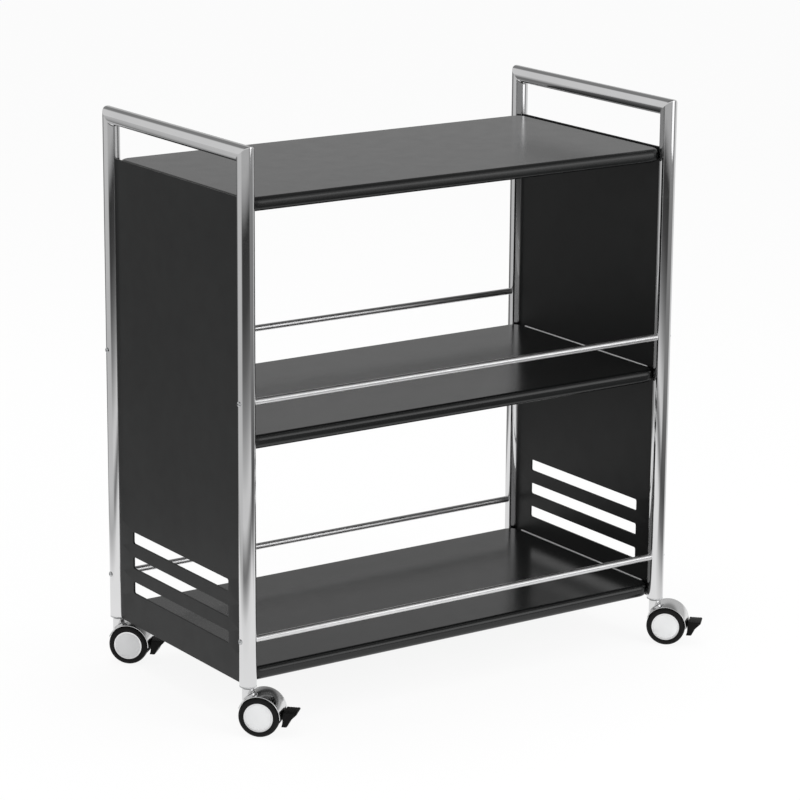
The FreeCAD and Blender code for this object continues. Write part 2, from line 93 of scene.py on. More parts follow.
def edgeRings(rounding, height, hold=0.25, arcSteps=4, levels=1):
    # Inset and level of the rings over a rounded edge. First a flat ring that keeps the face's
    # shading flat, then a quarter arc with inset = r (1 - sin t) and level = r (1 - cos t), then
    # the wall, and the same again upside down.
    turn = quarterArc(arcSteps)
    inset = np.concatenate([[rounding + hold], rounding * (1 - np.sin(turn))])
    level = np.concatenate([[0.0], rounding * (1 - np.cos(turn))])
    wall = np.linspace(rounding, height - rounding, levels + 1)[1:-1]
    return (np.concatenate([inset, 0 * wall, inset[::-1]]),
            np.concatenate([level, wall, height - level[::-1]]))


def rectangleLoops(halfLength, halfWidth, corner, inset, lengthShares=(), widthShares=(), arcSteps=8):
    # A rectangle with round corners, moved inwards by each inset. The corner radius shrinks with
    # the inset down to a sharp corner. Shares place points along the straight sides.
    inset = np.atleast_1d(np.asarray(inset, float))[:, None]
    radius = np.maximum(corner - inset, 0)
    x, y = halfLength - inset - radius, halfWidth - inset - radius
    turn = quarterArc(arcSteps)[None, :]
    arcs = [spots(signX * x + radius * np.cos(turn + start), signY * y + radius * np.sin(turn + start))
            for signX, signY, start in ((1, -1, -math.pi / 2), (1, 1, 0), (-1, 1, math.pi / 2),
                                        (-1, -1, math.pi))]
    loops = []
    for number, arc in enumerate(arcs):
        shares = np.asarray(lengthShares if number % 2 else widthShares, float)[None, :, None]
        start, finish = arc[:, -1:], arcs[(number + 1) % 4][:, :1]
        loops += [arc, start + (finish - start) * shares]
    return np.concatenate(loops, axis=1)


def roundOutline(corners, arcSteps=5):
    # A closed outline of (x, y, radius). Each corner becomes an arc that touches both its sides,
    # turned from spoke to spoke: (sin((1 - t) a) p + sin(t a) q) / sin a.
    corners = np.array(corners, float)
    spot, radius = corners[:, :2], corners[:, 2:3]
    before, after = np.roll(spot, 1, axis=0) - spot, np.roll(spot, -1, axis=0) - spot
    before /= np.linalg.norm(before, axis=1, keepdims=True)
    after /= np.linalg.norm(after, axis=1, keepdims=True)
    half = np.arccos(np.clip((before * after).sum(axis=1, keepdims=True), -0.99999, 0.99999)) / 2
    middle = before + after
    middle /= np.maximum(np.linalg.norm(middle, axis=1, keepdims=True), 1e-9)
    centre = spot + middle * radius / np.sin(half)
    reach = radius / np.tan(half)
    first, last = spot + before * reach - centre, spot + after * reach - centre
    total = (math.pi - 2 * half)[:, None]
    share = np.linspace(0, 1, arcSteps + 1)[None, :, None]
    arc = np.sin((1 - share) * total) * first[:, None] + np.sin(share * total) * last[:, None]
    outline = (centre[:, None] + arc / np.sin(total)).reshape(-1, 2)
    apart = np.linalg.norm(outline - np.roll(outline, 1, axis=0), axis=1) > 1e-4
    return outline[apart]


def arcPoints(centre, radius, fromDegrees, toDegrees, steps):
    # Points on a circle, each with a corner radius of 0, ready for roundOutline.
    turn = np.radians(np.linspace(fromDegrees, toDegrees, steps + 1))
    return spots(centre[0] + radius * np.cos(turn), centre[1] + radius * np.sin(turn), 0).tolist()


def plateSurface(outline, low, high, rounding, arcSteps=3):
    # An outline carried from low to high, with its two rims rounded: each ring is the outline
    # moved inwards along the outline's own normals. Gives (u, v, w) with w from low to high.
    ahead = np.roll(outline, -1, axis=0) - outline
    ahead /= np.linalg.norm(ahead, axis=1, keepdims=True)
    behind = np.roll(ahead, 1, axis=0)
    normal = spots(ahead[:, 1] + behind[:, 1], -ahead[:, 0] - behind[:, 0])
    normal /= np.linalg.norm(normal, axis=1, keepdims=True)
    slant = np.maximum((normal * spots(ahead[:, 1], -ahead[:, 0])).sum(axis=1), 0.5)
    inset, level = edgeRings(rounding, high - low, arcSteps=arcSteps)
    rings = outline[None] - inset[:, None, None] * (normal / slant[:, None])[None]
    count = len(outline)
    caps = [np.arange(count)[::-1], np.arange(count) + (len(inset) - 1) * count]
    return surfaceOf(spots(rings[..., 0], rings[..., 1], low + level[:, None]), caps)


def turnedSurface(profile, around=64, closed=False):
    # A profile of (radius, level) carried round an axis: (r cos t, r sin t, level). A profile
    # that starts and ends on the axis makes a solid, and a closed one makes a ring.
    profile = np.asarray(profile, float)
    turn = circle(around)
    radius, level = profile[:, :1], profile[:, 1:]
    return surfaceOf(spots(radius * np.cos(turn), radius * np.sin(turn), level), wrapRows=closed)


def stackRows(rows, count):
    # Rings of (radius, level), each a number or one value for each angle, as two arrays.
    return [np.array([np.broadcast_to(row[part], count) for row in rows]) for part in (0, 1)]


def rodSurface(half, look):
    # A rod with round ends, turned about its own length, from -half to half.
    radius, rim = look["radius"], look["endRounding"]
    end = [(0, half), (radius - rim, half), (radius, half - rim)]
    end += [(radius, half - rim - step) for step in look["holds"]]
    return turnedSurface([(out, -along) for out, along in end] + end[::-1], look["around"])


def moved(surface, change):
    # The same surface with its points changed by a function of all of them.
    points, quads, caps = surface
    return change(points), quads, caps


def newObject(name, data):
    made = bpy.data.objects.new(name, data)
    bpy.context.scene.collection.objects.link(made)
    return made


def makePiece(name, surfaces, finish, body, replaced, sharpAngle=34):
    # Joins the surfaces into one mesh, welds their seams and poles and turns them outwards.
    points = np.concatenate([surface[0] for surface in surfaces])
    starts = np.cumsum([0] + [len(surface[0]) for surface in surfaces])
    faces = []
    for (_, quads, caps), start in zip(surfaces, starts):
        faces += (quads + start).tolist()
        faces += [(cap + start).tolist() for cap in caps]
    mesh = bpy.data.meshes.new(name)
    mesh.from_pydata((points / 1000).tolist(), [], faces)
    shape = bmesh.new()
    shape.from_mesh(mesh)
    bmesh.ops.remove_doubles(shape, verts=shape.verts, dist=weldReach)
    bmesh.ops.recalc_face_normals(shape, faces=shape.faces)
    shape.to_mesh(mesh)
    shape.free()
    mesh.shade_smooth()
    mesh.set_sharp_from_angle(angle=math.radians(sharpAngle))
    mesh.materials.append(finishes[finish])
    piece = newObject(name, mesh)
    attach(piece, body)
    if replaced:
        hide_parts(*replaced)
    return piece


# Shader helpers

def newTree(holder, outputKind):
    # The emptied nodes of a material or world, and the surface socket of their output.
    holder.use_nodes = True
    tree = holder.node_tree
    tree.nodes.clear()
    return tree, tree.nodes.new(outputKind).inputs["Surface"]


def newNode(tree, kind, sockets):
    # A node whose sockets, by name or number, are linked to another socket or set to a value.
    node = tree.nodes.new(kind)
    for socket, value in sockets.items():
        if isinstance(value, bpy.types.NodeSocket):
            tree.links.new(value, node.inputs[socket])
        else:
            node.inputs[socket].default_value = value
    return node


def spread(tree, source, start, finish, low=0.0, high=1.0, kind="LINEAR"):
    # Turns start..finish into low..high and stops at both.
    sockets = {"Value": source, "From Min": start, "From Max": finish, "To Min": low, "To Max": high}
    node = newNode(tree, "ShaderNodeMapRange", sockets)
    node.interpolation_type = kind
    return node.outputs["Result"]


def ramp(tree, source, stops):
    # Colours along the source, as (position, colour).
    node = tree.nodes.new("ShaderNodeValToRGB")
    elements = node.color_ramp.elements
    for number, (position, colour) in enumerate(stops):
        element = elements[number] if number < 2 else elements.new(position)
        element.position = position
        element.color = (*colour, 1)
    tree.links.new(source, node.inputs["Fac"])
    return node.outputs["Color"]


def mottle(tree, place, scale, detail):
    # Even mottling by a noise of so many marks to the metre.
    sockets = {"Vector": place, "Scale": scale, "Detail": detail}
    return newNode(tree, "ShaderNodeTexNoise", sockets).outputs["Fac"]


def relief(tree, shader, source, depth, under=None):
    # A bump of so many millimetres, laid over an earlier one if there is one.
    sockets = {"Strength": 1, "Distance": depth / 1000, "Height": source}
    if under:
        sockets["Normal"] = under
    normal = newNode(tree, "ShaderNodeBump", sockets).outputs["Normal"]
    tree.links.new(normal, shader.inputs["Normal"])
    return normal


def blended(tree, share, first, second):
    # first where the share is 0, second where it is 1
    return newNode(tree, "ShaderNodeMix", {0: share, 2: first, 3: second}).outputs[0]


def blendedShader(tree, share, first, second):
    return newNode(tree, "ShaderNodeMixShader", {0: share, 1: first, 2: second}).outputs[0]


def combine(tree, operation, first, second):
    node = newNode(tree, "ShaderNodeMath", {0: first, 1: second})
    node.operation = operation
    return node.outputs["Value"]


def dotWith(tree, source, direction):
    node = newNode(tree, "ShaderNodeVectorMath", {0: source, 1: direction})
    node.operation = "DOT_PRODUCT"
    return node.outputs["Value"]


# Finishes

metalLook = {
    # name: (darker, lighter, smoothest, dullest, wave in millimetres)
    "tubeChrome": ((0.80, 0.80, 0.805), (0.85, 0.85, 0.855), 0.035, 0.06, 0.02),
    "railChrome": ((0.82, 0.82, 0.825), (0.88, 0.88, 0.885), 0.34, 0.42, 0.01),
    "castorChrome": ((0.80, 0.80, 0.805), (0.86, 0.86, 0.865), 0.10, 0.16, 0.03),
    "hubChrome": ((0.86, 0.86, 0.865), (0.92, 0.92, 0.925), 0.28, 0.36, 0.02),
    "brightZinc": ((0.55, 0.56, 0.57), (0.66, 0.67, 0.68), 0.16, 0.26, 0.01),
    "plainSteel": ((0.46, 0.46, 0.47), (0.58, 0.58, 0.59), 0.24, 0.38, 0.01),
    "castZinc": ((0.48, 0.48, 0.48), (0.60, 0.60, 0.60), 0.30, 0.45, 0.03),
}
coatLook = {
    # name: (darker, lighter, smoothest, dullest, grains to the metre, peel in millimetres,
    #        tones to the metre, gleam)
    "panelBlack": ((0.006, 0.0064, 0.0064), (0.009, 0.0095, 0.0095), 0.36, 0.42, 420, 0.012, 6, 0.26),
    "boardBlack": ((0.005, 0.0053, 0.0053), (0.0075, 0.008, 0.008), 0.19, 0.22, 700, 0.005, 6, 0.5),
    "tyreBlack": ((0.004, 0.004, 0.004), (0.008, 0.008, 0.008), 0.48, 0.58, 900, 0.015, 40, 0.16),
    "pedalBlack": ((0.003, 0.003, 0.003), (0.006, 0.006, 0.006), 0.34, 0.44, 1500, 0.012, 40, 0.12),
    "hubGrey": ((0.75, 0.755, 0.76), (0.80, 0.805, 0.81), 0.26, 0.36, 1200, 0.006, 30, 0.5),
    "lipGrey": ((0.45, 0.455, 0.46), (0.53, 0.535, 0.54), 0.35, 0.45, 1200, 0.010, 60, 0.5),
}
textureLook = {
    "noiseRange": (0.3, 0.7),  # between these lie nearly all of the noise's values
    # marks to the metre, detail
    "metalTone": (9, 3),
    "polish": (70, 4),
    "wave": (16, 1),
    "scratch": (900, 2),
    "scratchDepth": 0.002,
    "gloss": (35, 5),
    "toneDetail": 3,
    "grainDetail": 2,
    "finerGrain": 4,         # times the grain's marks
    "finerDepth": 5,         # the grain's depth divided by this
}


def newFinish(name, setting, value, tone, darker, lighter, polish, smoothest, dullest):
    # A material with one even value on its shader, a change of tone and a polish that varies.
    finishes[name] = bpy.data.materials.new(name)
    tree, surface = newTree(finishes[name], "ShaderNodeOutputMaterial")
    place = tree.nodes.new("ShaderNodeTexCoord").outputs["Object"]
    start, finish = textureLook["noiseRange"]
    colour = ramp(tree, mottle(tree, place, *tone), ((start, darker), (finish, lighter)))
    roughness = spread(tree, mottle(tree, place, *polish), start, finish, smoothest, dullest)
    shader = newNode(tree, "ShaderNodeBsdfPrincipled",
                     {setting: value, "Base Color": colour, "Roughness": roughness})
    tree.links.new(shader.outputs["BSDF"], surface)
    return tree, shader, place


finishes = {}
look = textureLook
for name, (darker, lighter, smoothest, dullest, wave) in metalLook.items():
    tree, shader, place = newFinish(name, "Metallic", 1.0, look["metalTone"], darker, lighter,
                                    look["polish"], smoothest, dullest)
    broad = relief(tree, shader, mottle(tree, place, *look["wave"]), wave)
    relief(tree, shader, mottle(tree, place, *look["scratch"]), look["scratchDepth"], broad)
for name, (darker, lighter, smoothest, dullest, grain, depth, tones, gleam) in coatLook.items():
    tree, shader, place = newFinish(name, "Specular IOR Level", gleam, (tones, look["toneDetail"]), darker,
                                    lighter, look["gloss"], smoothest, dullest)
    peel = relief(tree, shader, mottle(tree, place, grain, look["grainDetail"]), depth)
    finer = mottle(tree, place, grain * look["finerGrain"], look["grainDetail"])
    relief(tree, shader, finer, depth / look["finerDepth"], peel)
print("finishes made:", len(finishes))


# Tube hoops

tubeLook = {
    "radius": 12.5,
    "cornerRounding": 1.6,   # the ground-down weld along each mitre
    "footRounding": 0.4,
    "footWall": 1.5,
    "hold": 1.5,             # straight ring before and after the weld
    "around": 96,
    "cornerSteps": 6,
}


def hoopSurface(side):
    # The tube's circle carried up one post, along the bar and down the other. With q = how far a
    # point of the circle is outside the hoop's middle line, its line is the hoop's path grown by q
    # and its two corners are quarter circles of the weld's rounding.
    look = tubeLook
    radius, rounding, hold = look["radius"], look["cornerRounding"], look["hold"]
    frontLow, frontHigh = spanOf(side + "_front_post")
    rearHigh = spanOf(side + "_rear_post")[1]
    middle = (frontLow + rearHigh) / 2
    halfPath = (rearHigh[1] - frontLow[1]) / 2 - radius
    top, foot = frontHigh[2] - radius, frontLow[2]
    turn = circle(look["around"])
    swing = quarterArc(look["cornerSteps"])[:, None]
    size = np.array([radius - look["footWall"], radius - look["footRounding"], radius])[:, None]
    footLevel = np.array([0, 0, look["footRounding"]])[:, None] + foot
    out, grow = radius * np.cos(turn), radius * np.sin(turn)
    half, rise = halfPath + grow, top + grow
    # stations up the front half of the hoop: (distance outside x, distance from the middle, height)
    stations = np.concatenate([
        spots(size * np.cos(turn), halfPath + size * np.sin(turn), footLevel),
        spots(out, half, rise - rounding - hold),
        spots(out, half - rounding * (1 - np.cos(swing)), rise - rounding * (1 - np.sin(swing))),
        spots(out, half - rounding - hold, rise)])
    front = stations * [1, -1, 1] + [middle[0], middle[1], 0]
    rear = stations[::-1] + [middle[0], middle[1], 0]
    rings = np.concatenate([front, rear])
    count = look["around"]
    return surfaceOf(rings, [np.arange(count), np.arange(count) + (len(rings) - 1) * count])


for side in sideNames:
    nodes = [side + "_front_post", side + "_rear_post", side + "_top_bar"]
    makePiece(side + "Hoop", [hoopSurface(side)], "tubeChrome", "frame", nodes)
print("hoops made")


# Side panels

panelLook = {
    "slotLowest": 128,       # height of the lowest slot's middle
    "slotPitch": 39,
    "slotHeight": 18,
    "slotLength": 274,
    "slotCorner": 3,
    "slotCount": 3,
    "rim": 0.45,             # rounding of every edge of the sheet
    "hold": 0.3,             # flat ring beside each rounding
    "arcSteps": 8,
    "slotSteps": 14,         # parts of a slot's long side
    "rows": 14,              # rows of the sheet above the slots
}


def panelSurfaces(side):
    # The sheet in (y, z) with x as its depth. Round each slot one surface runs from the front
    # face's band, over the slot's rounded rim and out to the same band of the back face. Flat
    # strips fill the rest, and a rounded rim closes the border.
    look = panelLook
    low, high = spanOf(side + "_side_panel")
    middleX, thick = (low[0] + high[0]) / 2, high[0] - low[0]
    rim, hold, arcSteps = look["rim"], look["hold"], look["arcSteps"]
    halfDepth = (high[1] - low[1]) / 2 - rim
    halfBand = look["slotPitch"] / 2
    slotHeights = look["slotLowest"] + look["slotPitch"] * np.arange(look["slotCount"])
    share = np.linspace(0, 1, look["slotSteps"] + 1)[1:-1]
    inset, level = edgeRings(rim, thick, hold)
    ring = rectangleLoops(look["slotLength"] / 2, look["slotHeight"] / 2, look["slotCorner"], -inset,
                          share, (0.5,), arcSteps)
    # the band's border: a straight side keeps its places, and each corner arc opens into the two
    # sides of the band's corner
    outer = np.sign(ring[0]) * np.array([halfDepth, halfBand])
    away = np.abs(ring[0])
    innerY, innerZ = away.max(axis=0) - look["slotCorner"] - rim - hold
    for axis, inner in ((0, innerY), (1, innerZ)):
        straight = away[:, axis] < inner + tiny
        outer[straight, axis] = ring[0][straight, axis]
    halfArc = arcSteps // 2
    opening = np.linspace(0, 1, halfArc + 1)
    arcY = np.concatenate([innerY + (halfDepth - innerY) * opening, np.full(halfArc, halfDepth)])
    arcZ = np.concatenate([np.full(halfArc, halfBand), (innerZ + (halfBand - innerZ) * opening)[::-1]])
    start = 0
    for signY, signZ in ((1, -1), (1, 1), (-1, 1), (-1, -1)):
        order = -signY * signZ
        outer[start:start + arcSteps + 1] = spots(signY * arcY[::order], signZ * arcZ[::order])
        start += arcSteps + 1 + (1 if order > 0 else len(share))
    loops = np.concatenate([outer[None], ring, outer[None]])
    depth = np.concatenate([[0], level, [thick]])[:, None] - thick / 2
    surfaces = [surfaceOf(spots(middleX + depth, loops[..., 0], loops[..., 1] + height))
                for height in slotHeights]
    # flat strips below and above the slots, on the same lines
    lines = np.unique(np.round(outer[np.abs(np.abs(outer[:, 1]) - halfBand) < tiny][:, 0], 6))
    bandBottom = look["slotLowest"] - halfBand
    bandTop = bandBottom + look["slotPitch"] * look["slotCount"]
    lowStrip = np.array([low[2] + rim, low[2] + rim + hold, (low[2] + bandBottom) / 2, bandBottom])
    highStrip = np.append(np.linspace(bandTop, high[2] - rim - hold, look["rows"]), high[2] - rim)
    for strip in (lowStrip, highStrip):
        for face in (-1, 1):
            flat = spots(middleX + face * thick / 2, lines[None, :], strip[:, None])
            surfaces.append(surfaceOf(flat, wrapColumns=False))
    # the border, once round, with its outward direction
    edgeZ = np.unique(np.round(outer[np.abs(np.abs(outer[:, 0]) - halfDepth) < tiny][:, 1], 6))
    bands = [edgeZ + height for height in slotHeights]
    upright = np.unique(np.round(np.concatenate([lowStrip, highStrip] + bands), 5))
    bottom, top, sides = upright[0], upright[-1], upright[1:-1]
    border = np.concatenate([spots(lines, bottom), spots(halfDepth, sides),
                             spots(lines[::-1], top), spots(-halfDepth, sides[::-1])])
    sideways = np.where(np.abs(border[:, 0]) > halfDepth - tiny, np.sign(border[:, 0]), 0)
    upwards = np.where(border[:, 1] < bottom + tiny, -1, np.where(border[:, 1] > top - tiny, 1, 0))
    rings = border[None] + (rim - inset[1:-1])[:, None, None] * spots(sideways, upwards)[None]
    x = middleX - thick / 2 + level[1:-1, None]
    surfaces.append(surfaceOf(spots(x, rings[..., 0], rings[..., 1])))
    return surfaces


for side in sideNames:
    makePiece(side + "Panel", panelSurfaces(side), "panelBlack", "frame",
              [side + "_side_panel"])
print("panels made")


# Boards

boardLook = {
    "corner": 22,
    "rounding": 8,
    "hold": 0.4,             # flat ring beside the rounding
    "arcSteps": 12,
    "linesX": (0, 80, 160, 240),  # grid lines of the flat faces, from the middle
    "linesY": (0, 55),
    "camFromEnd": 37.5,
    "camSpacing": 240,
    "boreRadius": 7.5,
    "boreDepth": 14,
    "boreRim": 0.3,
    "boreAround": 48,
    "cell": 10,              # half the flat square round each bore
}


def boardSurfaces(node):
    # The plan's outline shrunk by the inset of a rounded edge at each level, then a flat grid
    # inside it. On the underside four squares of the grid open into round bores.
    look = boardLook
    low, high = spanOf(node)
    middle, half = (low + high) / 2, (high - low) / 2
    thickness = high[2] - low[2]
    inner = half[:2] - look["corner"]
    camX, camY, cell = half[0] - look["camFromEnd"], look["camSpacing"] / 2, look["cell"]
    linesX = np.array([*look["linesX"], camX - cell, camX + cell, inner[0]])
    linesY = np.array([*look["linesY"], camY - cell, camY + cell, inner[1]])
    linesX, linesY = (np.concatenate([-lines[:0:-1], lines]) for lines in (linesX, linesY))
    inset, level = edgeRings(look["rounding"], thickness, look["hold"], look["arcSteps"])
    inset = np.concatenate([[look["corner"]], inset, [look["corner"]]])
    level = np.concatenate([[0], level, [thickness]])
    shares = [(lines[1:-1] + reach) / (2 * reach) for lines, reach in zip((linesX, linesY), inner)]
    loops = rectangleLoops(half[0], half[1], look["corner"], inset, *shares, look["arcSteps"])
    surfaces = [surfaceOf(spots(loops[..., 0], loops[..., 1], level[:, None]))]
    for height in (0.0, thickness):
        points, quads, caps = surfaceOf(spots(linesX[None, :], linesY[:, None], height), wrapColumns=False)
        if height == 0:
            spot = np.abs(points[quads].mean(axis=1))
            opened = (np.abs(spot[:, 0] - camX) < 1) & (np.abs(spot[:, 1] - camY) < 1)
            quads = quads[~opened]
        surfaces.append((points, quads, caps))
    count = look["boreAround"]
    bore, boreQuads, _ = turnedSurface([(look["boreRadius"] + look["boreRim"], 0),
                                        (look["boreRadius"], look["boreRim"]),
                                        (look["boreRadius"], look["boreDepth"])], count)
    square = cell * np.array([[1, 1, 0], [-1, 1, 0], [-1, -1, 0], [1, -1, 0]], float)
    # the bore's floor, and four faces between its mouth and the square
    quarter = count // 4
    caps = [np.arange(count) + 2 * count]
    for number in range(4):
        arc = np.arange(quarter + 1)[::-1] + quarter // 2 + quarter * number
        caps.append(np.concatenate([[3 * count + number, 3 * count + (number + 1) % 4], arc % count]))
    for signX in (-1, 1):
        for signY in (-1, 1):
            spot = np.array([signX * camX, signY * camY, 0])
            surfaces.append((np.concatenate([bore, square]) + spot, boreQuads, caps))
    return [moved(surface, lambda points: points + [middle[0], middle[1], low[2]]) for surface in surfaces]


camLook = {
    "radius": 7.3,
    "sunk": 0.5,
    "height": 12,
    "rim": 0.4,
    "crossWidth": 1.1,
    "crossReach": 4.2,
    "crossDepth": 1.6,
    "slope": 0.35,
    "rings": 34,
    "around": 72,
}


def stepDown(value, edge):
    # 1 within the edge and 0 beyond it, by a smooth step as wide as the cam's slope.
    share = np.clip((edge + camLook["slope"] - np.abs(value)) / camLook["slope"], 0, 1)
    return share * share * (3 - 2 * share)


def camSurface(spot):
    # A low drum whose face has a cross recess: depth times the larger of two soft bars, where a
    # soft bar is a smooth step down at its width times a smooth step down at its reach.
    look = camLook
    rings = np.linspace(0, look["radius"] - look["rim"], look["rings"])
    radius = np.concatenate([rings, [look["radius"]] * 2, [0]])[:, None]
    level = np.concatenate([0 * rings + look["sunk"], [look["sunk"] + look["rim"]],
                            [look["height"]] * 2])[:, None]
    turn = circle(look["around"])
    x, y = radius * np.cos(turn), radius * np.sin(turn)
    barX = stepDown(x, look["crossReach"]) * stepDown(y, look["crossWidth"])
    barY = stepDown(y, look["crossReach"]) * stepDown(x, look["crossWidth"])
    recess = np.maximum(barX, barY) * look["crossDepth"] * (level < look["sunk"] + tiny)
    return moved(surfaceOf(spots(x, y, level + recess)), lambda points: points + spot)


camSurfaces = []
for node, name in (("top_shelf", "topBoard"), ("middle_shelf", "middleBoard"), ("lower_shelf", "lowerBoard")):
    makePiece(name, boardSurfaces(node), "boardBlack", "frame", [node], sharpAngle=40)
    low, high = spanOf(node)
    for x in (low[0] + boardLook["camFromEnd"], high[0] - boardLook["camFromEnd"]):
        for y in (-boardLook["camSpacing"] / 2, boardLook["camSpacing"] / 2):
            camSurfaces.append(camSurface(np.array([x, y, low[2]])))
makePiece("camLocks", camSurfaces, "castZinc", "frame", ["cam_locks"], sharpAngle=50)
print("boards made")


# Painted highlight: slim chrome beads along the boards' ends, in the groove beside the panel, stand in for
# the light line on the boards' rounded ends

highlightBeadLook = {"radius": 1.5, "halfLength": 158, "endRounding": 0.5, "holds": (), "around": 20}


def highlightBeadSurface(node, side):
    # A slim rod that touches both the panel and the board's rounding: with r the rounding and p
    # the rod's radius, its centre stands sqrt(4 r p) above the rounding's.
    low, high = spanOf(node)
    radius, rounding = highlightBeadLook["radius"], boardLook["rounding"]
    x = high[0] - radius if side == "right" else low[0] + radius
    height = high[2] - rounding + math.sqrt(4 * rounding * radius)
    rod = rodSurface(highlightBeadLook["halfLength"], highlightBeadLook)
    return moved(rod, lambda points: points[:, [1, 2, 0]] + [x, 0, height])


# the beads paint the highlight line along the ends of the middle and lower boards
for node, name in (("middle_shelf", "middleHighlightBeads"), ("lower_shelf", "lowerHighlightBeads")):
    makePiece(name, [highlightBeadSurface(node, side) for side in sideNames], "railChrome",
              "frame", [])
print("beads made")


# Guard rails and their screws

railLook = {"radius": 5, "endRounding": 0.6, "holds": (1,), "around": 48}
screwLook = {
    "headRadius": 4,
    "headHeight": 2.4,
    "domeRadius": 6.1,
    "rim": 0.3,
    "inTube": 2.5,
    "domeRings": 7,
    "lastRing": 0.7,         # from the socket to the dome's last ring
    "socketRadius": 1.5,
    "socketRim": 0.15,
    "socketChamfer": 0.3,
    "socketDepth": 1.6,
    "around": 72,
}


def railSurface(node):
    low, high = spanOf(node)
    middle = (low + high) / 2
    rod = rodSurface((high[0] - low[0]) / 2, railLook)
    return moved(rod, lambda points: points[:, [2, 0, 1]] + middle)


def screwSurface(side, y, height):
    # Rings about the screw's axis, from inside the tube out over the drum and the dome to the
    # hexagon socket: a hexagon of circumradius c is c cos 30 / cos(angle within its side).
    look = screwLook
    turn = circle(look["around"])[0]
    hexagon = math.cos(math.pi / 6) / np.cos(np.mod(turn, math.pi / 3) - math.pi / 6)
    crown = tubeLook["radius"] + look["headHeight"]
    base, bottom = tubeLook["radius"] - look["inTube"], crown - look["socketDepth"]
    edge, rim = look["headRadius"], look["rim"]
    socket = look["socketRadius"] * hexagon
    lip = (look["socketRadius"] + look["socketRim"]) * hexagon

    def dome(radius):
        return crown - look["domeRadius"] + np.sqrt(look["domeRadius"] ** 2 - radius ** 2)

    rows = [(0, base), (edge, base), (edge, dome(edge) - rim / 2)]
    rows += [(ring, dome(ring)) for ring in np.linspace(edge - rim, look["socketRadius"] + look["lastRing"],
                                                        look["domeRings"])]
    rows += [(lip, dome(lip)), (socket, crown - look["socketChamfer"]), (socket, bottom), (0, bottom)]
    radius, level = stackRows(rows, len(turn))
    low, high = spanOf(side + "_front_post")
    x = (low[0] + high[0]) / 2 + (-level if side == "left" else level)
    return surfaceOf(spots(x, y + radius * np.cos(turn), height + radius * np.sin(turn)))


screwSurfaces = []
for level in ("middle", "lower"):
    for end in ("front", "rear"):
        node = "%s_%s_rail" % (level, end)
        makePiece(level + end.capitalize() + "Rail", [railSurface(node)], "railChrome",
                  "frame", [node])
        low, high = spanOf(node)
        spot = (low + high) / 2
        screwSurfaces += [screwSurface(side, spot[1], spot[2]) for side in sideNames]
makePiece("railScrews", screwSurfaces, "brightZinc", "frame", ["rail_screws"])
print("rails and screws made")


# Castors
# Each castor is worked out along its trail, across it and up, with the stem at 0, 0.

castorLook = {
    "angle": -45,            # the way it trails, turned about Z
    "trail": 20,             # stem to axle
    "axleHeight": 30,
}
hoodLook = {
    "inside": 30.8,
    "outside": 33,
    "halfWidth": 23.5,
    "crown": 1.2,
    "endHeight": 36.9,       # over the pedal's notch
    "skirtHeight": 28,       # beside the notch
    "notchHalfWidth": 15,
    "notchStep": 0.2,
    "edge": 0.7,
    "endRounding": 0.5,
    "length": 90,            # about its length round the axle
    "rows": 64,
    "hold": 0.2,             # flat ring beside the end's rounding
    "arcSteps": 4,
    "outerLines": (3.2, 5.6),  # grid lines beyond the notch
    "innerLines": (0.8, 7),  # grid lines within it: reach as a share of it, and how many
}
webLook = {
    "halfWidth": 6.3,
    "cheekInside": 3.3,
    "cheekStart": 12,
    "underHood": 1.4,        # below the hood's outer face
    "axleBoss": 8,
    "rounding": 0.4,
    "corner": 1.5,
    "frontCorner": 0.8,
    "cheekCorner": 0.5,
    "cheekEnd": 0.6,
    "lap": 1,                # how far a cheek reaches into the solid part
    "behindFront": 0.1,
    "cheekRise": 0.3,
    "arcSteps": 24,
    "cheekSteps": 14,
}
bossLook = {
    "radius": 8.8,
    "top": 66.7,
    "rounding": 0.9,
    "hold": 0.3,
    "boreDepth": 6,
    "boreClearance": 0.3,
    "foot": 1.6,             # fillet where the boss stands on the hood
    "footFade": 0.7,
    "sink": 0.8,             # how far its underside is from the hood's inside
    "seat": 0.05,            # how far its foot is below the hood's outer face
    "inset": 1,              # of its underside
    "around": 72,
    "arcSteps": 6,
}
stemLook = {
    "stem": 5.5,
    "stemTop": 105,
    "collar": 8.8,
    "collarHeight": 1.5,
    "pivot": 4,
    "pivotBottom": 44,
    "chamfers": (0.4, 0.25, 0.8),  # pivot, collar, top
    "lip": 1.5,
    "insertTop": 110,
    "insertWall": 11,
    "insertRoundings": (0.2, 0.3, 0.2, 0.1, 0.6, 0.3),  # from the bore's foot, once round
    "around": 48,
    "insertAround": 64,
}
wheelLook = {
    "radius": 30,
    "innerFace": 7,
    "width": 16.5,
    "shoulder": 5,
    "shoulderSteps": 9,
    "flat": 0.6,             # from the shoulder down the side
    "hub": 21.5,
    "hubSetBack": 0.4,
    "rimWidth": 2.2,
    "recess": 0.8,
    "crown": 0.25,           # how far the disc bulges
    "discRings": 12,
    "bore": 3.05,
    "cover": 1,
    "seam": ((-0.5, 0), (-0.2, 0.12), (0.2, 0.12), (0.5, 0)),  # mould line: across, sunk
    "bead": ((1.5, 0), (1.2, 0.2), (0.7, 0.2), (0.4, 0), (0.15, 0), (0, 0.15)),  # from the hub, sunk
    "rimInner": ((-0.25, -0.12), (0, 0), (0.25, 0.14)),  # from the rim's inner edge and the disc
    "rimOuter": ((-0.55, -0.08), (-0.3, 0), (-0.12, -0.05), (0, -0.25)),  # from the hub's edge
    "bevel": 0.4,            # of the tyre's inner side at the hub
    "discMargin": 0.5,       # from the disc's last ring to the rim
    "plating": (0.05, 0.3),  # starts so far inside the rim's inner edge and below the disc
    "around": 96,
}
